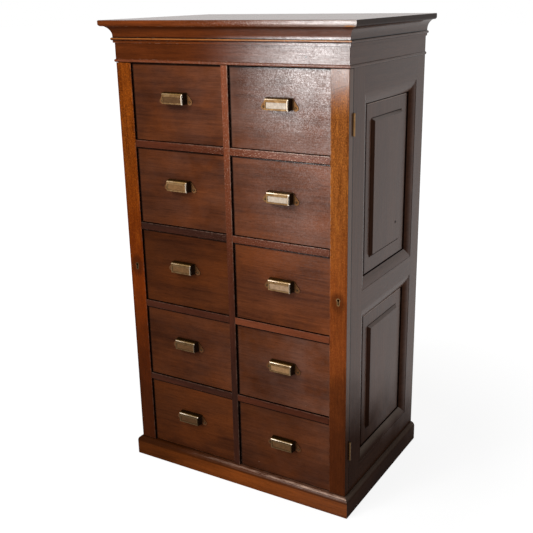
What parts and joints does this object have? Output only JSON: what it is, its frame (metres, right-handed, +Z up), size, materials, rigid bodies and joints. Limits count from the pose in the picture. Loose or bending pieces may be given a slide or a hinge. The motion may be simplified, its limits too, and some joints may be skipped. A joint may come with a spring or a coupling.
{
  "type": "card filing cabinet",
  "caption": "Tall mahogany filing cabinet with two columns of deep drawers, hooded brass label pulls and hinged locking flaps down both front edges.",
  "frame": {"origin": "middle of the footprint, on the floor", "axes": "+Z up, +X to the right of someone facing the drawers, -Y the side the drawers pull out to"},
  "size_m": [0.716, 0.489, 1.237],
  "materials": {
    "mahogany_case": "polished",
    "mahogany_drawer": "polished",
    "mahogany_flap": "polished",
    "mahogany_side": "worn polish",
    "oak": "plain",
    "deal": "plain",
    "card": "paper",
    "brass_pull": "aged",
    "brass_fittings": "aged"
  },
  "bodies": {
    "carcass": {"top_board": "mahogany_case", "cornice": "mahogany_case", "frieze": "mahogany_case", "left_side_frame": "mahogany_side", "right_side_frame": "mahogany_side", "front_posts": "mahogany_case", "side_panels": "mahogany_side", "panel_mouldings": "mahogany_side", "back_boards": "deal", "bottom_board": "deal", "sub_top": "deal", "centre_divider": "deal", "front_muntin": "mahogany_case", "drawer_rails": "mahogany_case", "drawer_runners": "deal", "drawer_stops": "deal", "plinth": "mahogany_case", "plinth_bearers": "deal", "carcass_leaves": "brass_fittings", "lock_staples": "brass_fittings"},
    "left_flap": {"left_flap": "mahogany_flap", "left_flap_leaves": "brass_fittings", "left_escutcheon": "brass_fittings", "left_lock": "brass_fittings"},
    "left_bolt": {"left_bolt": "brass_fittings"},
    "right_flap": {"right_flap": "mahogany_flap", "right_flap_leaves": "brass_fittings", "right_escutcheon": "brass_fittings", "right_lock": "brass_fittings"},
    "right_bolt": {"right_bolt": "brass_fittings"},
    "drawer_left_1": {"drawer_left_1_front": "mahogany_drawer", "drawer_left_1_box": "oak", "drawer_left_1_pull": "brass_pull"},
    "drawer_left_2": {"drawer_left_2_front": "mahogany_drawer", "drawer_left_2_box": "oak", "drawer_left_2_pull": "brass_pull"},
    "drawer_left_3": {"drawer_left_3_front": "mahogany_drawer", "drawer_left_3_box": "oak", "drawer_left_3_pull": "brass_pull"},
    "drawer_left_4": {"drawer_left_4_front": "mahogany_drawer", "drawer_left_4_box": "oak", "drawer_left_4_pull": "brass_pull"},
    "drawer_left_5": {"drawer_left_5_front": "mahogany_drawer", "drawer_left_5_box": "oak", "drawer_left_5_pull": "brass_pull"},
    "drawer_right_1": {"drawer_right_1_front": "mahogany_drawer", "drawer_right_1_box": "oak", "drawer_right_1_pull": "brass_pull"},
    "drawer_right_2": {"drawer_right_2_front": "mahogany_drawer", "drawer_right_2_box": "oak", "drawer_right_2_pull": "brass_pull"},
    "drawer_right_3": {"drawer_right_3_front": "mahogany_drawer", "drawer_right_3_box": "oak", "drawer_right_3_pull": "brass_pull"},
    "drawer_right_4": {"drawer_right_4_front": "mahogany_drawer", "drawer_right_4_box": "oak", "drawer_right_4_pull": "brass_pull"},
    "drawer_right_5": {"drawer_right_5_front": "mahogany_drawer", "drawer_right_5_box": "oak", "drawer_right_5_pull": "brass_pull"}
  },
  "joints": [
    {"name": "left_flap_hinge", "type": "hinge", "parent": "carcass", "child": "left_flap", "pos_m": [-0.332, -0.194, 0.594], "axis": [0, 0, -1], "range_deg": [0, 175]},
    {"name": "left_bolt_slide", "type": "slide", "parent": "left_flap", "child": "left_bolt", "axis": [1, 0, 0], "range_m": [0, 0.006]},
    {"name": "right_flap_hinge", "type": "hinge", "parent": "carcass", "child": "right_flap", "pos_m": [0.332, -0.194, 0.594], "axis": [0, 0, 1], "range_deg": [0, 175]},
    {"name": "right_bolt_slide", "type": "slide", "parent": "right_flap", "child": "right_bolt", "axis": [-1, 0, 0], "range_m": [0, 0.006]},
    {"name": "drawer_left_1_slide", "type": "slide", "parent": "carcass", "child": "drawer_left_1", "axis": [0, -1, 0], "range_m": [0, 0.3]},
    {"name": "drawer_left_2_slide", "type": "slide", "parent": "carcass", "child": "drawer_left_2", "axis": [0, -1, 0], "range_m": [0, 0.3]},
    {"name": "drawer_left_3_slide", "type": "slide", "parent": "carcass", "child": "drawer_left_3", "axis": [0, -1, 0], "range_m": [0, 0.3]},
    {"name": "drawer_left_4_slide", "type": "slide", "parent": "carcass", "child": "drawer_left_4", "axis": [0, -1, 0], "range_m": [0, 0.3]},
    {"name": "drawer_left_5_slide", "type": "slide", "parent": "carcass", "child": "drawer_left_5", "axis": [0, -1, 0], "range_m": [0, 0.3]},
    {"name": "drawer_right_1_slide", "type": "slide", "parent": "carcass", "child": "drawer_right_1", "axis": [0, -1, 0], "range_m": [0, 0.3]},
    {"name": "drawer_right_2_slide", "type": "slide", "parent": "carcass", "child": "drawer_right_2", "axis": [0, -1, 0], "range_m": [0, 0.3]},
    {"name": "drawer_right_3_slide", "type": "slide", "parent": "carcass", "child": "drawer_right_3", "axis": [0, -1, 0], "range_m": [0, 0.3]},
    {"name": "drawer_right_4_slide", "type": "slide", "parent": "carcass", "child": "drawer_right_4", "axis": [0, -1, 0], "range_m": [0, 0.3]},
    {"name": "drawer_right_5_slide", "type": "slide", "parent": "carcass", "child": "drawer_right_5", "axis": [0, -1, 0], "range_m": [0, 0.3]}
  ]
}
